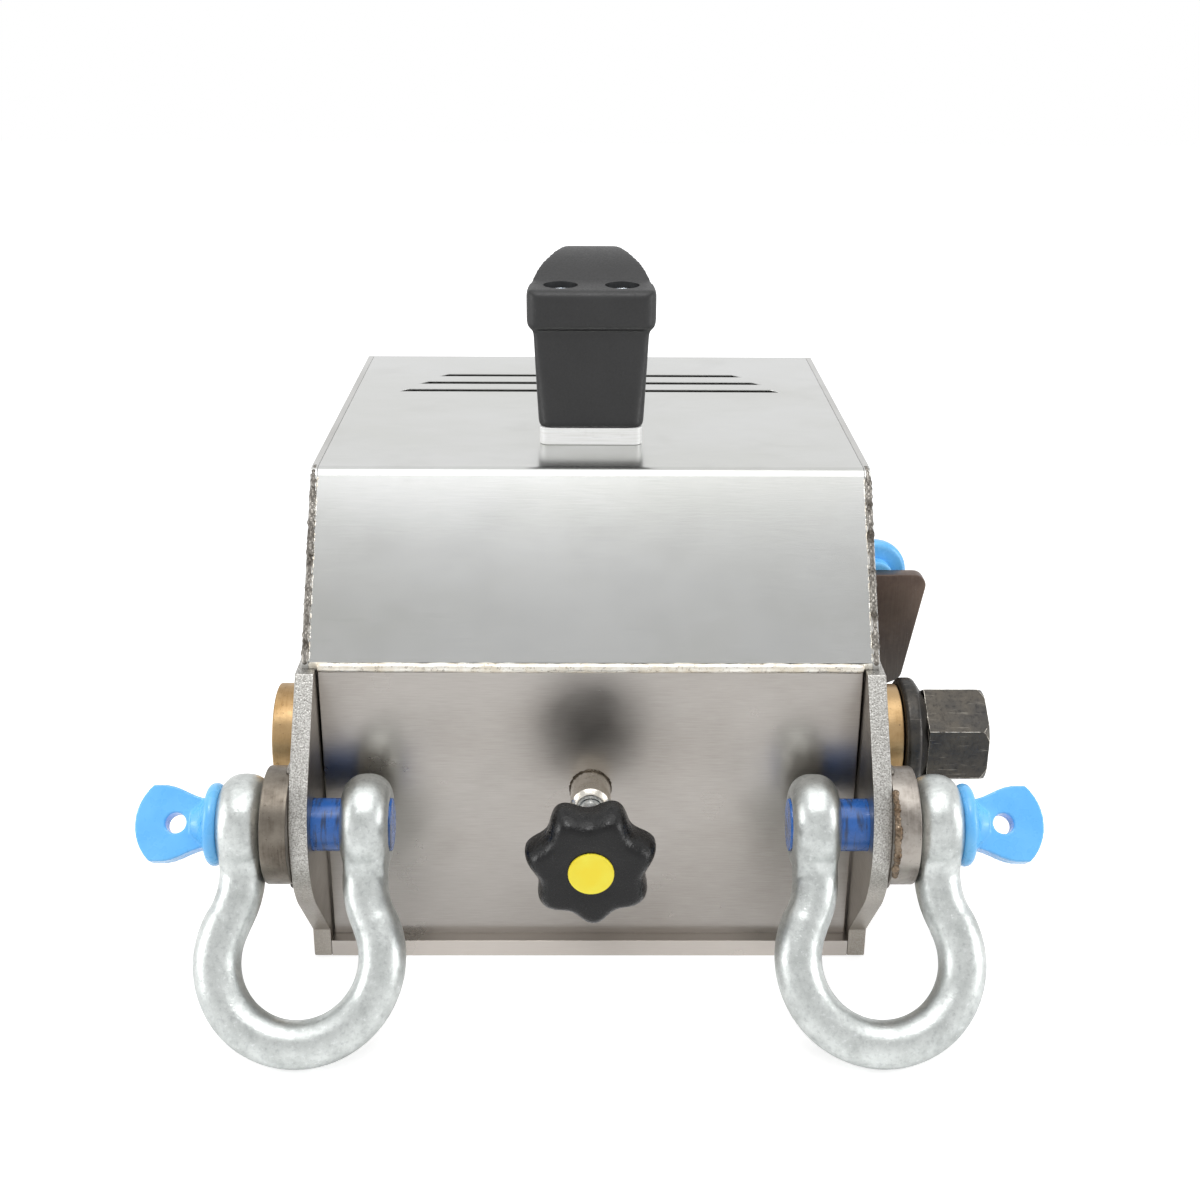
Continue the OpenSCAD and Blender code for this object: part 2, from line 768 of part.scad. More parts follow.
module bracket_peg_head() {
  r = peg_head_d/2;
  color(blue_paint) from_front() peg_place(peg_l) rotate_extrude()
    polygon(concat(
      [[0, 0], [r*0.9, 0], [r, peg_head_t*0.12]],
      [for (a = [0:10:90]) [r*cos(a), peg_head_t*(0.35 + 0.65*sin(a))]]
    ));
}

base_plate();
left_side_plate();
right_side_plate();
front_panel();
rear_panel();
front_seam();
hood_cover();
hood_left_side();
hood_right_side();
left_pin_boss();
right_pin_boss();
left_shaft_bush();
right_shaft_bush();
drive_shaft();
drive_hex();
drum_barrel();
left_drum_flange();
right_drum_flange();
left_shackle_bow();
left_shackle_pin();
right_shackle_bow();
right_shackle_pin();
lock_boss();
lock_stud();
lock_knob();
lock_knob_cap();
front_handle_spacer();
rear_handle_spacer();
carry_handle();
handle_inserts();
side_bracket();
bracket_peg();
bracket_peg_head();
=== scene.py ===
"""Portable stainless winch: looks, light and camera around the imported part."""
import json
import math
import random

import bpy
from mathutils import Matrix, Vector


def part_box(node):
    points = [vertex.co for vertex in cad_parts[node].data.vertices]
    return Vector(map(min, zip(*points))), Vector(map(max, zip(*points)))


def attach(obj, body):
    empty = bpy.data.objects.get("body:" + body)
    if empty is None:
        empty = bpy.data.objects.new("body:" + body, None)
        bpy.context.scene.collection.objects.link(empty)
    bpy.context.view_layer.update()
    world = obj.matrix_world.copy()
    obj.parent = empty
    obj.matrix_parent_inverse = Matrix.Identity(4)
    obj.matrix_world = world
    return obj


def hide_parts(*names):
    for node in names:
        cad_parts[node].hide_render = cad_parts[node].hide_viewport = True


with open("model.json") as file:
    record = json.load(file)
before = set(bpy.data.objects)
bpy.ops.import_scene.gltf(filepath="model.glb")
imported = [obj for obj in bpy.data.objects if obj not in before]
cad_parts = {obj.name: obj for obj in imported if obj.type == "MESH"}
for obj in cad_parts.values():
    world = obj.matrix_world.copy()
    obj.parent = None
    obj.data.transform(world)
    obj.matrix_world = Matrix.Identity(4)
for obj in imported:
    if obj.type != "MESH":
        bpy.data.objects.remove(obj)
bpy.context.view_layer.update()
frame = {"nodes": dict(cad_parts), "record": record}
nodes = frame["nodes"]
record = frame["record"]

MM = 0.001
BODY_OF = {node: body for body, members in record["behaviour"]["bodies"].items()
           for node in members}


# Camera

# Where the photographer stood, in millimetres from the middle of the base, and how the camera
# was turned, in degrees.
EYE = Vector((-3.0, -749.1, 428.0)) * MM
PITCH = 22.30
YAW = 0.61
ROLL = 0.36
# Focal length over image width, both in the photo's pixels, from the housing's perspective.
FOCAL_PER_WIDTH = 1611.6 / 1200
SENSOR_MM = 36


def look_through_camera():
    pitch, yaw, roll = (math.radians(a) for a in (PITCH, YAW, ROLL))
    ahead = Vector((math.sin(yaw) * math.cos(pitch),
                    math.cos(yaw) * math.cos(pitch), -math.sin(pitch)))
    level = Vector((math.cos(yaw), -math.sin(yaw), 0))
    upright = level.cross(ahead)
    right = level * math.cos(roll) + upright * math.sin(roll)
    up = upright * math.cos(roll) - level * math.sin(roll)
    data = bpy.data.cameras.new("photo_camera")
    data.sensor_width = SENSOR_MM
    data.lens = SENSOR_MM * FOCAL_PER_WIDTH
    camera = bpy.data.objects.new("photo_camera", data)
    bpy.context.collection.objects.link(camera)
    turn = Matrix((right, up, -ahead)).transposed()
    camera.matrix_world = Matrix.Translation(EYE) @ turn.to_4x4()
    bpy.context.scene.camera = camera


look_through_camera()


# Material tools

def srgb(code):
    """A hex colour as written on screen, turned to linear RGBA."""
    parts = [int(code[i:i + 2], 16) / 255 for i in (1, 3, 5)]
    line = [p / 12.92 if p <= 0.04045 else ((p + 0.055) / 1.055) ** 2.4 for p in parts]
    return (*line, 1.0)


def add_node(material, kind, settings=None, links=None, **attributes):
    """One node with its attributes, socket values and incoming links."""
    node = material.node_tree.nodes.new(kind)
    for name, value in attributes.items():
        setattr(node, name, value)
    for name, value in (settings or {}).items():
        node.inputs[name].default_value = value
    for name, source in (links or {}).items():
        material.node_tree.links.new(source, node.inputs[name])
    return node


def new_material(name):
    material = bpy.data.materials.new(name)
    material.use_nodes = True
    material.node_tree.nodes.clear()
    return material


def finish_material(material, settings, links):
    shader = add_node(material, "ShaderNodeBsdfPrincipled", settings, links)
    add_node(material, "ShaderNodeOutputMaterial", links={"Surface": shader.outputs[0]})
    return material


def grain(material, size_mm, stretch=(1, 1, 1), detail=3.0, roughness=0.6):
    """Noise whose features are about size_mm across, drawn out by stretch along X, Y and Z."""
    place = add_node(material, "ShaderNodeTexCoord").outputs["Object"]
    drawn = add_node(material, "ShaderNodeMapping",
                     {"Scale": tuple(1 / s for s in stretch)}, {"Vector": place})
    return add_node(material, "ShaderNodeTexNoise",
                    {"Scale": 0.5 / (size_mm * MM), "Detail": detail, "Roughness": roughness},
                    {"Vector": drawn.outputs[0]}).outputs["Fac"]


def span(material, source, low, high, to_low, to_high):
    """A value between low and high carried to to_low and to_high, and held there beyond."""
    return add_node(material, "ShaderNodeMapRange",
                    {"From Min": low, "From Max": high, "To Min": to_low, "To Max": to_high},
                    {"Value": source}).outputs["Result"]


def blend_colours(material, share, one, other):
    """one where share is 0 and other where it is 1; each is a hex colour or a socket."""
    settings, links = {}, {"Fac": share}
    for name, colour in (("Color1", one), ("Color2", other)):
        if isinstance(colour, str):
            settings[name] = srgb(colour)
        else:
            links[name] = colour
    return add_node(material, "ShaderNodeMixRGB", settings, links).outputs["Color"]


def raise_bumps(material, height, depth_mm, under=None):
    links = {"Height": height}
    if under is not None:
        links["Normal"] = under
    return add_node(material, "ShaderNodeBump", {"Distance": depth_mm * MM, "Strength": 1.0},
                    links).outputs["Normal"]


def reckon(material, operation, *values):
    """The result of a maths node; each value is a number or a socket."""
    settings, links = {}, {}
    for index, value in enumerate(values):
        (settings if isinstance(value, (int, float)) else links)[index] = value
    return add_node(material, "ShaderNodeMath", settings, links, operation=operation).outputs[0]


def times(material, one, other):
    return reckon(material, "MULTIPLY", one, other)


def stand_in_place(material, axis):
    """The object-space place along one axis, in metres."""
    place = add_node(material, "ShaderNodeTexCoord").outputs["Object"]
    return add_node(material, "ShaderNodeSeparateXYZ", links={"Vector": place}).outputs[axis]


# Metals

def rolled_stainless(name, stretch, tint, shade, low_rough, high_rough):
    """304 sheet, cold rolled and brushed: fine scratches drawn out along the brushing, clouds
    where it was handled, and a slow waviness from rolling and welding. The eye sees a soft satin
    sheen that smears every reflection."""
    look = new_material(name)
    # Real brushing is about 0.05 mm; drawn 0.2 mm wide so that it shows.
    scratches = grain(look, 0.2, stretch, 4, 0.7)
    clouds = grain(look, 32, (1.6, 1, 1), 4, 0.55)
    smudges = grain(look, 14, (1, 1, 1), 4, 0.55)
    warm = blend_colours(look, span(look, clouds, 0.4, 0.64, 0, 1), tint, shade)
    fine = blend_colours(look, span(look, scratches, 0.3, 0.7, 0, 0.14), warm, "#f2f1ee")
    dulled = blend_colours(look, span(look, smudges, 0.55, 0.75, 0, 0.09), fine, "#8d8a84")
    rough = span(look, smudges, 0.3, 0.7, low_rough, high_rough)
    bumps = raise_bumps(look, scratches, 0.006)
    bumps = raise_bumps(look, grain(look, 40, (2.5, 1, 1), 0, 0.5), 0.06, bumps)
    return finish_material(look, {"Metallic": 1.0},
                           {"Base Color": dulled, "Roughness": rough, "Normal": bumps})


def plasma_cut_plate():
    """8 mm stainless plate: satin on its faces, and on its cut edge the rough, glittering drag
    lines that a plasma torch leaves, which fade out below the nose."""
    look = new_material("plasma_cut_stainless_plate")
    tex = add_node(look, "ShaderNodeTexCoord")
    facing = add_node(look, "ShaderNodeSeparateXYZ", links={"Vector": tex.outputs["Normal"]})
    on_edge = span(look, reckon(look, "ABSOLUTE", facing.outputs["X"]), 0.4, 0.6, 1, 0)
    upper = span(look, stand_in_place(look, "Z"), 45 * MM, 75 * MM, 0.12, 1)
    cut = times(look, on_edge, upper)
    grit = grain(look, 0.35, (1, 1, 1), 2, 0.7)
    drag = grain(look, 0.5, (14, 1, 1), 3, 0.6)
    clouds = grain(look, 26, (1, 1, 1), 4, 0.55)
    brushed = grain(look, 0.3, (1, 30, 1), 3, 0.65)
    plain = blend_colours(look, span(look, clouds, 0.4, 0.65, 0, 1), "#b3aca3", "#8f877d")
    plain = blend_colours(look, span(look, brushed, 0.3, 0.7, 0, 0.35), plain, "#d8d3ca")
    edge = blend_colours(look, span(look, grit, 0.32, 0.7, 0, 1), "#85827d", "#d6d5d1")
    colour = blend_colours(look, cut, plain, edge)
    rough = span(look, cut, 0, 1, 0.32, 0.38)
    bumps = raise_bumps(look, times(look, grit, cut), 0.16)
    bumps = raise_bumps(look, times(look, drag, cut), 0.08, bumps)
    bumps = raise_bumps(look, brushed, 0.012, bumps)
    return finish_material(look, {"Metallic": 1.0},
                           {"Base Color": colour, "Roughness": rough, "Normal": bumps})


def weld_metal(name, pale, stain, dark, stained):
    """Welded stainless: silvery puddles with straw and brown heat tint and soot in the valleys."""
    look = new_material(name)
    patches = grain(look, 4, (1, 1, 1), 5, 0.65)
    specks = grain(look, 0.7, (1, 1, 1), 3, 0.7)
    colour = blend_colours(look, span(look, patches, 0.42, 0.62, 0, stained), pale, stain)
    colour = blend_colours(look, span(look, specks, 0.55, 0.72, 0, 0.8), colour, dark)
    return finish_material(look, {"Metallic": 1.0},
                           {"Base Color": colour, "Roughness": span(look, patches, 0.3, 0.7, 0.28, 0.5),
                            "Normal": raise_bumps(look, specks, 0.16)})


def turned_metal(name, pale, dark, rough, mark_mm=0.45, depth_mm=0.03):
    """Metal turned on a lathe about the X axis: fine rings side by side, and stains across them."""
    look = new_material(name)
    rings = grain(look, mark_mm, (1, 40, 40), 3, 0.7)
    stains = grain(look, 7, (1, 1, 1), 5, 0.6)
    pits = grain(look, 0.6, (1, 1, 1), 2, 0.6)
    colour = blend_colours(look, span(look, stains, 0.38, 0.66, 0, 1), pale, dark)
    colour = blend_colours(look, span(look, rings, 0.35, 0.65, 0, 0.4), colour, pale)
    colour = blend_colours(look, span(look, pits, 0.66, 0.76, 0, 0.7), colour, "#3a332c")
    bumps = raise_bumps(look, rings, depth_mm)
    bumps = raise_bumps(look, pits, 0.05, bumps)
    return finish_material(look, {"Metallic": 1.0},
                           {"Base Color": colour, "Normal": bumps,
                            "Roughness": span(look, stains, 0.3, 0.7, rough, rough + 0.16)})


def galvanised_forging():
    """Drop-forged steel dipped in molten zinc: pale blotches of zinc over darker grey, small
    pits and runs, dull in the hollows and shiny where it has rubbed."""
    look = new_material("hot_dip_galvanised_forging")
    blotches = grain(look, 5.5, (1, 1, 1), 5, 0.62)
    mottle = grain(look, 1.0, (1, 1, 1), 4, 0.7)
    pits = add_node(look, "ShaderNodeTexVoronoi", {"Scale": 1 / (1.6 * MM), "Randomness": 1.0},
                    {"Vector": add_node(look, "ShaderNodeTexCoord").outputs["Object"]})
    dent = span(look, pits.outputs["Distance"], 0.0, 0.28, 0, 1)
    runs = grain(look, 14, (1, 1, 1), 3, 0.5)
    colour = blend_colours(look, span(look, blotches, 0.36, 0.66, 0, 1), "#d6dad8", "#b7bbb9")
    colour = blend_colours(look, span(look, mottle, 0.52, 0.74, 0, 0.46), colour, "#8d9093")
    colour = blend_colours(look, span(look, mottle, 0.28, 0.42, 0.5, 0), colour, "#f4f6f8")
    bumps = raise_bumps(look, mottle, 0.1)
    bumps = raise_bumps(look, grain(look, 0.45, (1, 1, 1), 2, 0.6), 0.05, bumps)
    bumps = raise_bumps(look, dent, 0.05, bumps)
    bumps = raise_bumps(look, runs, 0.6, bumps)
    return finish_material(look, {"Metallic": 0.92},
                           {"Base Color": colour, "Normal": bumps,
                            "Roughness": span(look, blotches, 0.3, 0.7, 0.28, 0.44)})


def blackened_forging():
    """Forged steel, black from the scale and oil left on it: brownish where the scale is thin,
    grey where a socket has rubbed, pitted all over."""
    look = new_material("oil_blackened_forged_steel")
    patches = grain(look, 8, (1, 1, 1), 5, 0.6)
    mottle = grain(look, 1.1, (1, 1, 1), 4, 0.7)
    rub = grain(look, 0.8, (10, 1, 1), 3, 0.65)
    colour = blend_colours(look, span(look, patches, 0.4, 0.62, 0, 1), "#403f3e", "#514d47")
    colour = blend_colours(look, span(look, mottle, 0.52, 0.74, 0, 0.6), colour, "#2c2c2f")
    colour = blend_colours(look, span(look, rub, 0.6, 0.74, 0, 0.5), colour, "#9a948b")
    bumps = raise_bumps(look, mottle, 0.12)
    bumps = raise_bumps(look, patches, 0.25, bumps)
    return finish_material(look, {"Metallic": 0.9},
                           {"Base Color": colour, "Normal": bumps,
                            "Roughness": span(look, mottle, 0.3, 0.7, 0.26, 0.5)})


def rubbed_edge():
    """The same forging where its edges have been rubbed bright by the tool."""
    look = new_material("rubbed_bright_steel_edge")
    wear = grain(look, 1.6, (1, 1, 1), 4, 0.65)
    colour = blend_colours(look, span(look, wear, 0.42, 0.6, 0, 1), "#d9d3c8", "#5c5751")
    return finish_material(look, {"Metallic": 1.0},
                           {"Base Color": colour, "Roughness": span(look, wear, 0.3, 0.7, 0.22, 0.42),
                            "Normal": raise_bumps(look, wear, 0.06)})


def blue_enamel():
    """Thick blue shackle enamel sprayed over a forging: glossy, a little uneven like orange peel,
    with small grey chips where it has been handled."""
    look = new_material("blue_sprayed_enamel")
    peel = grain(look, 2.2, (1, 1, 1), 2, 0.5)
    runs = grain(look, 9, (1, 1, 1), 3, 0.5)
    chips = grain(look, 1.0, (1, 1, 1), 4, 0.7)
    colour = blend_colours(look, span(look, runs, 0.35, 0.65, 0, 1), "#72c4fc", "#62b8f8")
    # The pin's end inside the side plate is painted darker: partly real rubbing and dirt, partly painted
    # shade where it sits between ear and plate. Its one turned groove is only a ring of painted shadow.
    # Both are placed by their distance from the middle of the winch.
    shank_end, groove_in, groove_out, fade = 118 * MM, 97.2 * MM, 98.8 * MM, 0.4 * MM
    across = reckon(look, "ABSOLUTE", stand_in_place(look, "X"))
    shank = span(look, across, shank_end, shank_end + 3 * MM, 1, 0)
    scuffs = grain(look, 0.8, (1, 7, 7), 3, 0.6)
    groove_shadow = times(look, span(look, across, groove_in, groove_in + fade, 0, 1),
                   span(look, across, groove_out, groove_out + fade, 1, 0))
    # Painted shade on the shank: a darker blue where it sits between ear and plate, then dark scuffs
    # that are partly real dirt and partly painted shade.
    colour = blend_colours(look, times(look, shank, 0.9), colour, "#0450aa")
    shank_dirt_and_shade = times(look, shank, span(look, scuffs, 0.5, 0.66, 0, 0.75))
    colour = blend_colours(look, shank_dirt_and_shade, colour, "#1b2738")
    # Painted shadow: the groove is not cut, only a dark ring is painted where its shade would fall.
    colour = blend_colours(look, times(look, groove_shadow, 0.8), colour, "#10203c")
    colour = blend_colours(look, span(look, chips, 0.76, 0.775, 0, 0.9), colour, "#4a5563")
    bumps = raise_bumps(look, peel, 0.06)
    bumps = raise_bumps(look, runs, 0.3, bumps)
    return finish_material(look, {"Coat Weight": 0.3, "Coat Roughness": 0.08, "IOR": 1.5},
                           {"Base Color": colour, "Normal": bumps,
                            "Roughness": span(look, peel, 0.3, 0.7, 0.22, 0.36)})


def bright_zinc():
    """Electroplated zinc, passivated blue-white: cold, bright and slightly streaked."""
    look = new_material("blue_passivated_zinc_plate")
    streaks = grain(look, 0.8, (1, 8, 1), 3, 0.6)
    colour = blend_colours(look, span(look, streaks, 0.35, 0.65, 0, 1), "#eef2f6", "#b9c4cf")
    return finish_material(look, {"Metallic": 1.0},
                           {"Base Color": colour, "Roughness": span(look, streaks, 0.3, 0.7, 0.12, 0.28),
                            "Normal": raise_bumps(look, streaks, 0.01)})


def machined_aluminium():
    """Milled aluminium block: very pale, with cutter lines running along it."""
    look = new_material("milled_aluminium")
    lines = grain(look, 0.4, (30, 30, 1), 3, 0.6)
    dirt = grain(look, 3, (1, 1, 1), 4, 0.6)
    colour = blend_colours(look, span(look, lines, 0.35, 0.65, 0, 1), "#ffffff", "#f2f2f0")
    colour = blend_colours(look, span(look, dirt, 0.62, 0.8, 0, 0.12), colour, "#9c978e")
    return finish_material(look, {"Metallic": 0.1},
                           {"Base Color": colour, "Roughness": span(look, lines, 0.3, 0.7, 0.25, 0.4),
                            "Normal": raise_bumps(look, lines, 0.012)})


def heat_tinted_plate():
    """Plate left as it came from welding: brown and straw heat tint over grey, darker low down,
    with fine bright scuffs."""
    look = new_material("heat_tinted_steel_plate")
    low = span(look, stand_in_place(look, "Z"), 75 * MM, 128 * MM, 1, 0)
    patches = grain(look, 12, (1, 1, 1), 5, 0.6)
    scuffs = grain(look, 0.6, (1, 1, 1), 4, 0.75)
    brushed = grain(look, 0.3, (1, 1, 30), 3, 0.6)
    colour = blend_colours(look, span(look, patches, 0.38, 0.62, 0, 1), "#75655b", "#564843")
    colour = blend_colours(look, times(look, low, 0.8), colour, "#54524f")
    colour = blend_colours(look, span(look, brushed, 0.4, 0.7, 0, 0.08), colour, "#a39a90")
    colour = blend_colours(look, span(look, scuffs, 0.68, 0.78, 0, 0.8), colour, "#e6e0d8")
    bumps = raise_bumps(look, brushed, 0.015)
    bumps = raise_bumps(look, patches, 0.2, bumps)
    return finish_material(look, {"Metallic": 1.0},
                           {"Base Color": colour, "Normal": bumps,
                            "Roughness": span(look, patches, 0.3, 0.7, 0.32, 0.48)})


# Plastics

def moulded_nylon(name, colour, pale, grain_mm, depth_mm, rough, shine):
    """Glass-filled nylon from a spark-eroded mould: an even pebbled grain that breaks highlights
    into sparkle, with faint grey scuffs."""
    look = new_material(name)
    pebbles = grain(look, grain_mm, (1, 1, 1), 2, 0.6)
    clouds = grain(look, 11, (1, 1, 1), 4, 0.6)
    scuffs = grain(look, 1.4, (1, 1, 5), 4, 0.7)
    tone = blend_colours(look, span(look, clouds, 0.35, 0.65, 0, 1), colour, pale)
    tone = blend_colours(look, span(look, scuffs, 0.66, 0.76, 0, 0.2), tone, "#55565a")
    return finish_material(look, {"IOR": 1.53, "Specular IOR Level": shine},
                           {"Base Color": tone, "Normal": raise_bumps(look, pebbles, depth_mm),
                            "Roughness": span(look, pebbles, 0.3, 0.7, rough, rough + 0.16)})


def moulded_cap():
    """Yellow moulded cap, satin, with a barely visible swirl from the moulding."""
    look = new_material("yellow_moulded_abs")
    swirl = grain(look, 5, (1, 1, 1), 3, 0.5)
    fine = grain(look, 0.5, (1, 1, 1), 2, 0.5)
    colour = blend_colours(look, span(look, swirl, 0.35, 0.65, 0, 1), "#fff045", "#ffe831")
    return finish_material(look, {"IOR": 1.53},
                           {"Base Color": colour, "Normal": raise_bumps(look, fine, 0.01),
                            "Roughness": span(look, fine, 0.3, 0.7, 0.34, 0.46)})


sheet_across = rolled_stainless("brushed_304_sheet_across", (30, 1, 1), "#cfd0cf", "#c8c9c6",
                                low_rough=0.175, high_rough=0.205)
# The front panel is the same brushed sheet as the hood, given a darker, warmer colour as painted shade
# and painted reflection.
shaded_panel_sheet = rolled_stainless("brushed_304_front_panel_shaded", (30, 1, 1), "#a6a19c", "#9c9690",
                               low_rough=0.26, high_rough=0.36)
base_sheet = rolled_stainless("brushed_304_base", (30, 1, 1), "#ccc5be", "#beb7b0",
                              low_rough=0.26, high_rough=0.38)
sheet_deep = rolled_stainless("brushed_304_sheet_deep", (1, 30, 1), "#cbcbc9", "#bcbbb8",
                              low_rough=0.24, high_rough=0.36)
cut_plate = plasma_cut_plate()
pale_weld = weld_metal("tungsten_arc_weld_in_304", "#ece9e1", "#cfc2aa", "#75685a", stained=0.6)
dark_weld = weld_metal("scorched_wire_weld", "#918d87", "#504b45", "#1f1c19", stained=1.0)
brown_weld = weld_metal("heat_browned_weld", "#8c7d6c", "#5b4a3a", "#1f1914", stained=1.0)
soot_weld = weld_metal("sooty_weld_root", "#5a5248", "#3a342c", "#15120f", stained=1.0)
boss_steel = turned_metal("turned_steel_boss", "#a8a29b", "#5e554d", rough=0.3)
browned_boss = turned_metal("heat_browned_steel_boss", "#847d73", "#534b43", rough=0.3)
lathed_boss = turned_metal("turned_stainless_boss", "#e4dfd6", "#b3a996", rough=0.2,
                           mark_mm=0.3, depth_mm=0.01)
bronze = turned_metal("turned_tin_bronze", "#bd9f75", "#96784f", rough=0.32)
drum_steel = turned_metal("turned_drum_steel", "#8a8884", "#5f5c58", rough=0.38)
forged_black = blackened_forging()
bright_edge = rubbed_edge()
galvanised = galvanised_forging()
enamel = blue_enamel()
zinc = bright_zinc()
aluminium = machined_aluminium()
tinted_plate = heat_tinted_plate()
handle_nylon = moulded_nylon("grained_nylon_handle", "#0e0e0f", "#161617",
                             grain_mm=0.45, depth_mm=0.04, rough=0.42, shine=0.56)
knob_nylon = moulded_nylon("coarse_grained_nylon_knob", "#050506", "#08080a",
                           grain_mm=0.8, depth_mm=0.24, rough=0.2, shine=0.34)
cap_abs = moulded_cap()


# Modelling tools

def only(*pieces):
    bpy.ops.object.select_all(action="DESELECT")
    for piece in pieces:
        piece.select_set(True)
    bpy.context.view_layer.objects.active = pieces[0]


def merged_copy(node, name, flat_deg=0.0):
    """A new piece from a CAD node: its loose triangles joined, and its flat faces made whole."""
    piece = bpy.data.objects.new(name, nodes[node].data.copy())
    bpy.context.collection.objects.link(piece)
    piece.data.materials.clear()
    only(piece)
    bpy.ops.object.mode_set(mode="EDIT")
    bpy.ops.mesh.select_mode(type="VERT")
    bpy.ops.mesh.select_all(action="SELECT")
    bpy.ops.mesh.customdata_custom_splitnormals_clear()
    bpy.ops.mesh.remove_doubles(threshold=0.004 * MM)
    if flat_deg:
        bpy.ops.mesh.dissolve_limited(angle_limit=math.radians(flat_deg))
    bpy.ops.object.mode_set(mode="OBJECT")
    return piece


def work(piece, kind, **settings):
    """A modifier with its settings, applied at once."""
    modifier = piece.modifiers.new(kind.lower(), kind)
    for name, value in settings.items():
        setattr(modifier, name, value)
    only(piece)
    bpy.ops.object.modifier_apply(modifier=modifier.name)


def melt(piece, cell_mm, passes, swell_mm=0.0):
    """Rebuilds a piece in small even cells, rubs its edges soft, and gives back what that took."""
    work(piece, "REMESH", mode="VOXEL", voxel_size=cell_mm * MM)
    work(piece, "SMOOTH", factor=0.5, iterations=passes)
    if swell_mm:
        work(piece, "DISPLACE", strength=swell_mm * MM, mid_level=0.0)
    only(piece)
    bpy.ops.object.shade_smooth()


def bore(piece, centre, radius_mm, low_z, high_z):
    """An upright round hole, cut sharp into a finished skin."""
    bpy.ops.object.select_all(action="DESELECT")
    bpy.ops.mesh.primitive_cylinder_add(
        vertices=64, radius=radius_mm * MM, depth=(high_z - low_z) * MM,
        location=(centre[0] * MM, centre[1] * MM, (low_z + high_z) / 2 * MM))
    cutter = bpy.context.object
    bpy.ops.object.transform_apply(location=True, rotation=True, scale=True)
    work(piece, "BOOLEAN", operation="DIFFERENCE", object=cutter, solver="EXACT")
    bpy.data.objects.remove(cutter)


def take_place(piece, material, *replaced, body=None, slot=None):
    """The piece gets its finish, stands for its CAD nodes and moves with their body."""
    piece.data.materials.append(material)
    if replaced:
        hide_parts(*replaced)
    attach(piece, body or BODY_OF[replaced[0]])


def eased(node, material, edge_mm, steps=2, sharp_deg=30, rubbed=None):
    """A plate, sheet or turned piece with its sharp edges eased by the maker's file."""
    piece = merged_copy(node, node + "_eased", 0.4)
    take_place(piece, material, node)
    if rubbed:
        piece.data.materials.append(rubbed)
    work(piece, "BEVEL", width=edge_mm * MM, segments=steps, limit_method="ANGLE",
         angle_limit=math.radians(sharp_deg), use_clamp_overlap=True,
         material=1 if rubbed else -1)
    only(piece)
    bpy.ops.object.shade_smooth_by_angle(angle=math.radians(sharp_deg))
    work(piece, "WEIGHTED_NORMAL", weight=100, keep_sharp=True)
    return piece


def forged(node, material, cell_mm, passes, swell_mm=0.2):
    """A forged or moulded piece: one soft skin with no sharp line where its forms meet."""
    piece = merged_copy(node, node + "_skin")
    melt(piece, cell_mm, passes, swell_mm)
    take_place(piece, material, node)
    return piece


def weld_bead(name, path, radius_mm, material, seed, cell_mm=0.45, passes=3, ripple=0.12):
    """Weld puddles laid one after another along a path in millimetres, melted into one bead."""
    dice = random.Random(seed)
    bpy.ops.object.select_all(action="DESELECT")
    bpy.ops.mesh.primitive_uv_sphere_add(segments=12, ring_count=8, radius=radius_mm * MM,
                                         location=Vector(path[0]) * MM)
    bead = bpy.context.object
    bead.name = name
    bpy.ops.object.transform_apply(location=True, rotation=True, scale=True)
    bpy.ops.object.mode_set(mode="EDIT")
    for spot in path[1:]:
        puddle = radius_mm * dice.uniform(1 - ripple, 1 + ripple)
        off = Vector(dice.uniform(-0.15, 0.15) * radius_mm for _ in range(3))
        bpy.ops.mesh.primitive_uv_sphere_add(segments=12, ring_count=8, radius=puddle * MM,
                                             location=(Vector(spot) + off) * MM)
    bpy.ops.object.mode_set(mode="OBJECT")
    melt(bead, cell_mm, passes)
    take_place(bead, material, body="housing", slot="stainless")
    return bead


def steps_between(one, other, gap_mm):
    one, other = Vector(one), Vector(other)
    count = max(1, round((other - one).length / gap_mm))
    return [one.lerp(other, i / count) for i in range(count + 1)]


def steps_round(centre, radius, start_deg, end_deg, x, gap_mm):
    """Spots on an arc about the X axis; 0 degrees points to the rear and 90 up."""
    count = max(1, round(abs(end_deg - start_deg) * math.pi / 180 * radius / gap_mm))
    turns = [math.radians(start_deg + (end_deg - start_deg) * i / count) for i in range(count + 1)]
    return [Vector((x, centre[0] + radius * math.cos(a), centre[1] + radius * math.sin(a)))
            for a in turns]


def middle(node):
    low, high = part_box(node)
    return (low + high) / 2 / MM


# Housing

for node, finish in (("hood_cover", sheet_across), ("front_panel", shaded_panel_sheet),
                     ("base_plate", base_sheet), ("rear_panel", sheet_across),
                     ("hood_left_side", sheet_deep), ("hood_right_side", sheet_deep)):
    eased(node, finish, edge_mm=0.35)
for node in ("left_side_plate", "right_side_plate"):
    eased(node, cut_plate, edge_mm=0.6)
eased("left_pin_boss", browned_boss, edge_mm=0.7)
eased("right_pin_boss", boss_steel, edge_mm=0.7)
for node in ("left_shaft_bush", "right_shaft_bush"):
    eased(node, bronze, edge_mm=0.8)
eased("lock_boss", lathed_boss, edge_mm=0.4)
eased("side_bracket", tinted_plate, edge_mm=0.7)
for node in ("front_handle_spacer", "rear_handle_spacer"):
    eased(node, aluminium, edge_mm=0.5)

# The seam across the front is one long bead, run by hand and wire-brushed.
seam = merged_copy("front_seam", "front_seam_bead")
work(seam, "REMESH", mode="VOXEL", voxel_size=0.5 * MM)
lumps = bpy.data.textures.new("seam_lumps", "CLOUDS")
lumps.noise_scale = 7 * MM
work(seam, "DISPLACE", texture=lumps, strength=0.7 * MM, mid_level=0.6, texture_coords="LOCAL")
work(seam, "SMOOTH", factor=0.5, iterations=4)
only(seam)
bpy.ops.object.shade_smooth()
take_place(seam, pale_weld, "front_seam")

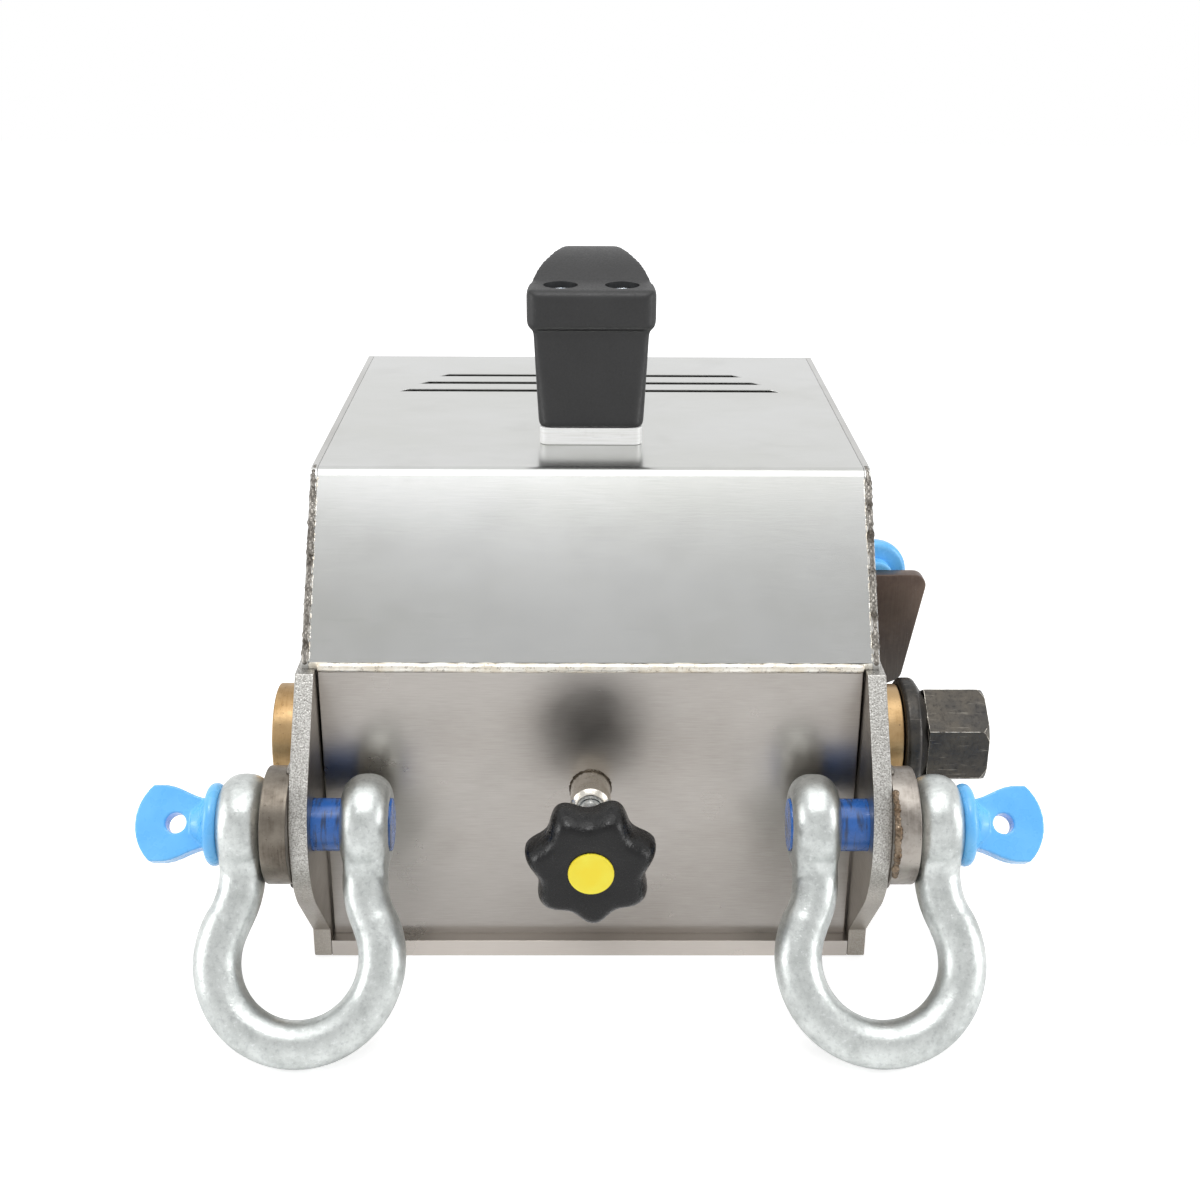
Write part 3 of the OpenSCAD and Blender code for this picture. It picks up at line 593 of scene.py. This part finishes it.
# Wire welds hold the side sheets to the hood's slope: a dark rough run on the corner, and
# inside it the thin pale line where the sheet was washed by the arc.
BEND_Y = -73.0  # where the hood's top turns down into the slope
cover_low, cover_high = (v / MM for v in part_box("hood_cover"))
slope_foot = Vector((0, cover_low.y, cover_low.z))
slope_head = Vector((0, BEND_Y, cover_high.z))
rise = (slope_head - slope_foot).normalized()
into = Vector((0, rise.z, -rise.y))
for side, name in ((-1, "left"), (1, "right")):
    out = Vector((side * (cover_high.x + 1.5), 0, 0))
    path = steps_between(slope_foot + rise * 0.5 + into * 0.55 + out,
                         slope_head - rise * 3.4 + into * 0.55 + out, 0.9)
    path += steps_between(slope_head + out + Vector((0, 0.2, -2.1)),
                          slope_head + out + Vector((0, 4, -1.3)), 0.9)
    weld_bead(name + "_slope_weld", path, 1.45, dark_weld, 11 + side,
              cell_mm=0.4, passes=2, ripple=0.28)
    line = Vector((side * (cover_high.x - 0.3), 0, 0))
    weld_bead(name + "_slope_wash",
              steps_between(slope_foot + rise * 1 + into * 0.5 + line,
                            slope_head - rise * 4.5 + into * 0.5 + line, 1.0),
              0.65, pale_weld, 41 + side, cell_mm=0.3, passes=4, ripple=0.15)

# Fillet welds hold the pin bosses: round the boss on the plate, and on the right along the
# plate's nose too, where the boss overhangs it.
boss = middle("right_pin_boss")
boss_low, boss_high = (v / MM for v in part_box("right_pin_boss"))
boss_radius = (boss_high.z - boss_low.z) / 2
plate_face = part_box("right_side_plate")[1].x / MM
for side, name in ((-1, "left"), (1, "right")):
    path = steps_round((boss.y, boss.z), boss_radius + 0.2, -112, 90, side * (plate_face + 0.4), 1.2)
    weld_bead(name + "_boss_weld", path, 2.1, dark_weld, 21 + side, cell_mm=0.45, passes=6)
path = steps_round((boss.y, boss.z), boss_radius + 0.1, 119, 205, plate_face + 1, 1.9)
weld_bead("right_nose_weld", path, 1.6, brown_weld, 31, cell_mm=0.35, passes=1, ripple=0.16)

# A thin sooty line runs round the lock boss where it meets the panel.
root = middle("lock_boss")
ROOT_RADIUS = 8.9
panel_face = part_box("front_panel")[0].y / MM
turns = [math.radians(a) for a in range(0, 360, 6)]
ring = [(root.x + ROOT_RADIUS * math.cos(a), panel_face, root.z + ROOT_RADIUS * math.sin(a))
        for a in turns]
weld_bead("lock_boss_root", ring, 0.6, soot_weld, 51, cell_mm=0.3, passes=2, ripple=0.3)

# Drive, drum and lock screw

eased("drive_hex", forged_black, edge_mm=0.7, steps=3, sharp_deg=25, rubbed=bright_edge)
for node in ("drum_barrel", "left_drum_flange", "right_drum_flange"):
    eased(node, drum_steel, edge_mm=0.6)
eased("drive_shaft", forged_black, edge_mm=0.8)
eased("lock_stud", zinc, edge_mm=0.6)
eased("lock_knob_cap", cap_abs, edge_mm=0.35)

# The star knob: seven blunt lobes on one wavy outline, a rolled shoulder all along it, and a face
# that dishes in to the cap. Each ring is drawn out of the one before, from the hub to the face.
LOBES = 7
FIRST_LOBE = math.radians(-87)
MEAN_REACH = 24.5
LOBE_HEIGHT = 2.4
knob_face, knob_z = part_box("lock_knob")[0].y / MM, middle("lock_knob_cap").z


def star_reach(angle, roundness):
    """Reach of the outline in millimetres; a roundness of 1 irons the lobes out."""
    turn = LOBES * (angle - FIRST_LOBE)
    wave = math.cos(turn) + 0.05 * math.cos(2 * turn)
    return MEAN_REACH + LOBE_HEIGHT * wave * (1 - roundness)


# Each ring: depth behind the face, how far inside the star's outline it runs, roundness.
knob_rings = [(32, 13.0, 1), (30.8, 11.6, 1), (18.5, 11.4, 1), (17.2, 9.5, 0.8), (17, 3.0, 0),
              (16.4, 1.0, 0), (15.2, 0.1, 0)]
knob_rings += [(11.0 * (1 - math.sin(a)), 6.0 * (1 - math.cos(a)), 0.25 * math.sin(a))
               for a in (math.radians(9 * i) for i in range(11))]
knob_rings += [(0.05, 8.4, 0.4), (0.3, 11.2, 0.7), (0.8, 13.8, 0.9), (1.0, 15.4, 1)]
bpy.ops.object.select_all(action="DESELECT")
bpy.ops.mesh.primitive_circle_add(vertices=28 * LOBES, radius=1.0, fill_type="NGON",
                                  rotation=(math.pi / 2, 0, 0))
knob = bpy.context.object
knob.name = "star_knob"
bpy.ops.object.transform_apply(location=True, rotation=True, scale=True)
for depth, inside, roundness in knob_rings:
    for vertex in knob.data.vertices:
        if vertex.select:
            angle = math.atan2(vertex.co.z, vertex.co.x)
            reach = (star_reach(angle, roundness) - inside) * MM
            vertex.co = (reach * math.cos(angle), (knob_face + depth) * MM,
                         reach * math.sin(angle))
    if depth != knob_rings[-1][0]:
        bpy.ops.object.mode_set(mode="EDIT")
        bpy.ops.mesh.extrude_region_move()
        bpy.ops.object.mode_set(mode="OBJECT")
for vertex in knob.data.vertices:
    vertex.co.z += knob_z * MM
melt(knob, cell_mm=0.5, passes=8, swell_mm=0.15)
take_place(knob, knob_nylon, "lock_knob")

# Shackles

for side in ("left", "right"):
    forged(side + "_shackle_bow", galvanised, cell_mm=0.8, passes=22, swell_mm=0.55)
    forged(side + "_shackle_pin", enamel, cell_mm=0.5, passes=4, swell_mm=0.1)
for node in ("bracket_peg", "bracket_peg_head"):
    forged(node, enamel, cell_mm=0.6, passes=6)

# Carrying handle

# The handle's own sizes in millimetres, as the part has them.
LEG_HEIGHT = 44
HEAD_THICKNESS = 17.5
HEAD_HALF = 28.75
GRIP_HALF = 13.3
INSERT_RADIUS = 7
handle = merged_copy("carry_handle", "carry_handle_skin", 0.4)
handle_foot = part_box("front_handle_spacer")[1].z / MM
head_foot, head_top = handle_foot + LEG_HEIGHT, handle_foot + LEG_HEIGHT + HEAD_THICKNESS
handle_middle = middle("carry_handle").y
screw_low, screw_high = (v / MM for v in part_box("handle_inserts"))
screws = [(side * (screw_high.x - INSERT_RADIUS), screw_low.y + INSERT_RADIUS) for side in (-1, 1)]
screws.append((0, screw_high.y - INSERT_RADIUS))


def grip_side(y):
    """Half width of the grip, y millimetres behind the handle's middle."""
    wide_until, slim_from = -46, 15.9
    share = min(1, max(0, (y - wide_until) / (slim_from - wide_until)))
    return GRIP_HALF + (HEAD_HALF - GRIP_HALF) / 2 * (1 + math.cos(math.pi * share))


def trim_ledge(side):
    """In the CAD part a thin ledge of the front leg runs on beneath the grip; here it is trimmed
    off along the grip's own side."""
    front, back, beyond, clearance = -34, 14, HEAD_HALF + 7.25, 0.05
    foot, height = head_foot - 15, 19.5
    plan = [(side * (grip_side(y) + clearance), y) for y in range(front, back + 1, 3)]
    plan += [(side * beyond, back), (side * beyond, front)]
    bpy.ops.object.select_all(action="DESELECT")
    bpy.ops.mesh.primitive_circle_add(vertices=len(plan), radius=1.0, fill_type="NGON")
    trim = bpy.context.object
    for vertex, (x, y) in zip(trim.data.vertices, plan):
        vertex.co = (x * MM, (handle_middle + y) * MM, foot * MM)
    bpy.ops.object.mode_set(mode="EDIT")
    bpy.ops.mesh.select_all(action="SELECT")
    bpy.ops.mesh.extrude_region_move(TRANSFORM_OT_translate={"value": (0, 0, height * MM)})
    bpy.ops.mesh.select_all(action="SELECT")
    bpy.ops.mesh.normals_make_consistent(inside=False)
    bpy.ops.object.mode_set(mode="OBJECT")
    work(handle, "BOOLEAN", operation="DIFFERENCE", object=trim, solver="EXACT")
    bpy.data.objects.remove(trim)


def under_head(a, b):
    """An edge along the foot of the front head, where it stands out past the leg."""
    return all(abs(v.z - head_foot * MM) < 0.8 * MM and abs(v.x) > 27 * MM for v in (a, b))


def up_leg(a, b):
    """A corner of a leg, from its foot to its head."""
    return abs((b - a).z) > 0.8 * (b - a).length > 16 * MM


def round_off(piece, wanted, radius_mm):
    """Rounds the edges whose two ends satisfy wanted."""
    only(piece)
    bpy.ops.object.mode_set(mode="EDIT")
    bpy.ops.mesh.select_all(action="DESELECT")
    bpy.ops.mesh.select_mode(type="EDGE")
    bpy.ops.object.mode_set(mode="OBJECT")
    for edge in piece.data.edges:
        edge.select = wanted(*(piece.data.vertices[i].co for i in edge.vertices))
    bpy.ops.object.mode_set(mode="EDIT")
    bpy.ops.mesh.bevel(offset=radius_mm * MM, segments=5, affect="EDGES")
    bpy.ops.object.mode_set(mode="OBJECT")


def screw_plug(spot):
    """A plug that fills a screw hole while the skin is melted smooth."""
    bpy.ops.object.select_all(action="DESELECT")
    bpy.ops.mesh.primitive_cylinder_add(
        vertices=48, radius=(INSERT_RADIUS + 2.5) * MM, depth=16 * MM,
        location=(spot[0] * MM, spot[1] * MM, (head_top - 8.05) * MM))
    bpy.ops.object.transform_apply(location=True, rotation=True, scale=True)
    return bpy.context.object


for side in (-1, 1):
    trim_ledge(side)
round_off(handle, under_head, 2.8)
round_off(handle, up_leg, 6.2)
only(handle, *[screw_plug(spot) for spot in screws])
bpy.ops.object.join()
melt(handle, cell_mm=0.8, passes=22, swell_mm=0.55)
for spot in screws:
    bore(handle, spot, INSERT_RADIUS + 0.9, screw_high.z - 3.2, head_top + 12)
only(handle)
bpy.ops.object.shade_smooth_by_angle(angle=math.radians(40))
take_place(handle, handle_nylon, "carry_handle")
# The screws' heads sit deep, so that only a thin crescent of each shows.
inserts = eased("handle_inserts", zinc, edge_mm=0.3)
for vertex in inserts.data.vertices:
    if vertex.co.z > (screw_high.z - 0.6) * MM:
        vertex.co.z -= 2.6 * MM


# Studio

def seen_rays(owner, path):
    """1 for rays of the camera, of reflections and through glass, 0 for light that falls on things."""
    seen = path.outputs["Is Camera Ray"]
    for kind in ("Is Glossy Ray", "Is Transmission Ray"):
        seen = reckon(owner, "MAXIMUM", seen, path.outputs[kind])
    return seen


def pale_floor():
    """White paper: lit by the lamps so that it keeps the object's shadow, with enough glow of its
    own towards the camera and in reflections to come out white where nothing shades it."""
    bpy.ops.object.select_all(action="DESELECT")
    under_base = -0.3 * MM  # just clear of the base plate, so that the two don't flicker
    bpy.ops.mesh.primitive_plane_add(size=6, location=(0, 0, under_base))
    floor = bpy.context.object
    floor.name = "floor"
    look = new_material("white_paper_floor")
    path = add_node(look, "ShaderNodeLightPath")
    paper = add_node(look, "ShaderNodeBsdfDiffuse", {"Color": srgb("#ededed")})
    place = add_node(look, "ShaderNodeTexCoord").outputs["Object"]
    away = add_node(look, "ShaderNodeVectorMath", {}, {0: place}, operation="LENGTH").outputs["Value"]
    to_camera = times(look, path.outputs["Is Camera Ray"], span(look, away, 0.5, 2.0, 0.3, 0.9))
    strength = reckon(look, "ADD", to_camera, times(look, seen_rays(look, path), 0.28))
    glow = add_node(look, "ShaderNodeEmission", {"Color": (1, 1, 1, 1)}, {"Strength": strength})
    both = add_node(look, "ShaderNodeAddShader", {}, {0: paper.outputs[0], 1: glow.outputs[0]})
    add_node(look, "ShaderNodeOutputMaterial", links={"Surface": both.outputs[0]})
    floor.data.materials.append(look)


def soft_lamp(name, place, width, depth, power, target=(0, 0, 0.1)):
    """A rectangular lamp that the camera doesn't see, turned to its target; in metres and watts."""
    data = bpy.data.lights.new(name, "AREA")
    data.shape = "RECTANGLE"
    data.size = width
    data.size_y = depth
    data.energy = power
    lamp = bpy.data.objects.new(name, data)
    lamp.visible_camera = False
    bpy.context.collection.objects.link(lamp)
    aim = Vector(target) - Vector(place)
    lamp.matrix_world = Matrix.Translation(place) @ aim.to_track_quat("-Z", "Y").to_matrix().to_4x4()


def white_surround():
    """White to the camera and in reflections, a little greyer high up where a studio's ceiling
    is; as a light it is a soft sky."""
    world = bpy.data.worlds.new("white_surround")
    bpy.context.scene.world = world
    world.use_nodes = True
    world.node_tree.nodes.clear()
    path = add_node(world, "ShaderNodeLightPath")
    sky = add_node(world, "ShaderNodeBackground", {"Color": (1, 1, 1, 1), "Strength": 0.58})
    ray = add_node(world, "ShaderNodeTexCoord").outputs["Generated"]
    ray = add_node(world, "ShaderNodeSeparateXYZ", links={"Vector": ray})
    high = span(world, ray.outputs["Z"], 0.4, 0.78, 0, 0.4)
    ahead = span(world, ray.outputs["Y"], 0.05, -0.25, 0, 1)
    ceiling = times(world, path.outputs["Is Glossy Ray"], times(world, high, ahead))
    white = add_node(world, "ShaderNodeBackground", {"Color": (1, 1, 1, 1)},
                     {"Strength": reckon(world, "SUBTRACT", 1.0, ceiling)})
    mix = add_node(world, "ShaderNodeMixShader", {},
                   {0: seen_rays(world, path), 1: sky.outputs[0], 2: white.outputs[0]})
    add_node(world, "ShaderNodeOutputWorld", links={"Surface": mix.outputs[0]})


pale_floor()
white_surround()
soft_lamp("overhead_softbox", (0, -0.33, 1.8), width=1.9, depth=1.58, power=12.6,
          target=(0, -0.33, 0))
soft_lamp("key_lamp", (-0.1, -0.5, 1.5), width=0.35, depth=0.2, power=3.3)
for side, name in ((-1, "left"), (1, "right")):
    soft_lamp(name + "_strip", (side, -0.3, 0.36), width=0.35, depth=0.6, power=2.6)
bpy.context.scene.view_settings.view_transform = "Standard"
